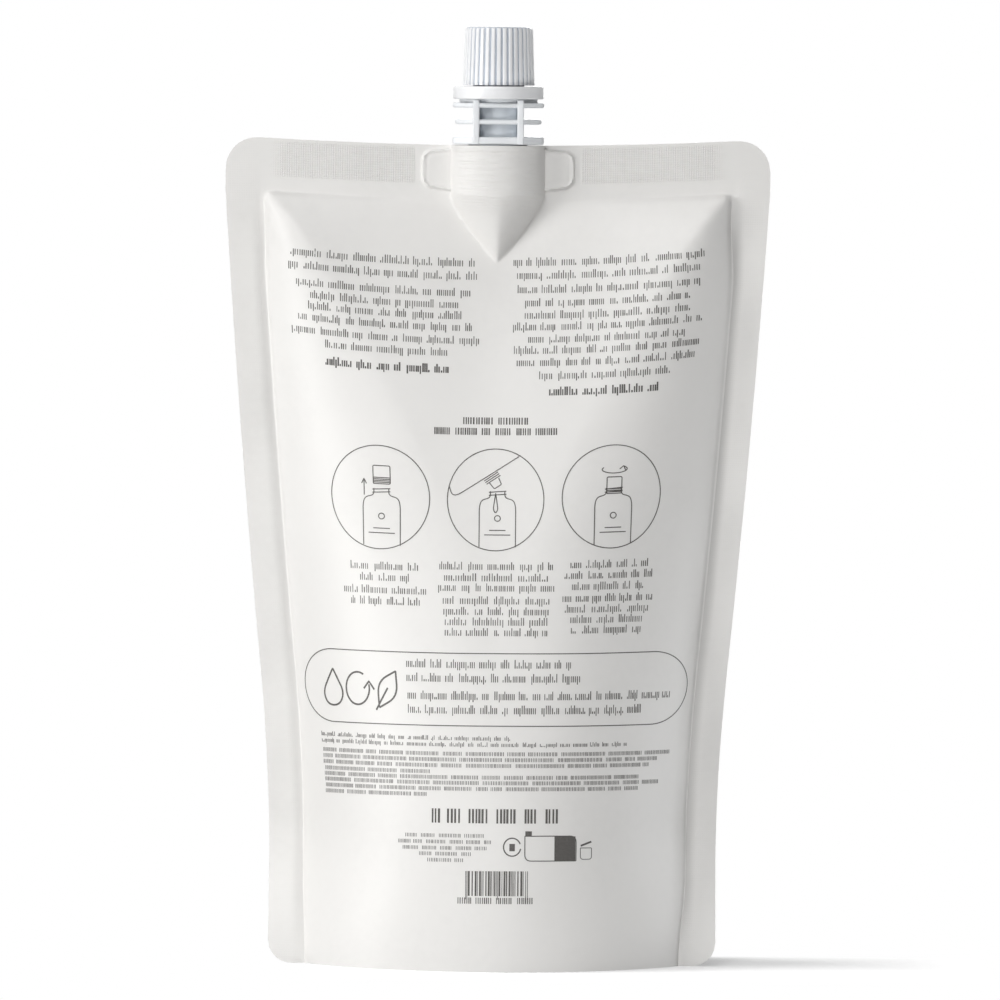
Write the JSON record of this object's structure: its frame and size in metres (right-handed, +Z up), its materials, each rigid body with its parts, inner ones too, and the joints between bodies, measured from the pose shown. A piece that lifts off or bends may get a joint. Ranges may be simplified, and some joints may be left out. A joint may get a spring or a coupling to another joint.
{
  "type": "shower gel refill pouch",
  "caption": "Filled stand-up refill pouch of sealed film with a folded base, a welded pouring spout with guide plates, a tamper band and a ribbed screw cap.",
  "frame": {"origin": "on the surface the pack stands on, under the middle of its box", "axes": "+Z up along the spout, +X along the top seal, and the printed face looks along -Y"},
  "size_m": [0.15, 0.0668, 0.2578],
  "materials": {
    "film": "matt printed film laminate, warm off-white",
    "spout_plastic": "natural, slightly translucent",
    "cap_plastic": "white, satin"
  },
  "bodies": {
    "pack": {"film_pouch": "film", "spout": "spout_plastic"},
    "tamper_ring": {"tamper_band": "cap_plastic"},
    "cap": {"screw_cap": "cap_plastic"}
  },
  "joints": [
    {"name": "cap_turn", "type": "hinge", "parent": "pack", "child": "tamper_ring", "pos_m": [0, 0, 0.2415], "axis": [0, 0, 1], "range_deg": [0, 1080]},
    {"name": "cap_lift", "type": "slide", "parent": "tamper_ring", "child": "cap", "axis": [0, 0, 1], "range_m": [0, 0.0181]}
  ],
  "couplings": [
    {"joint": "cap_lift", "follows": "cap_turn", "m_per_rad": 0.00095493}
  ]
}
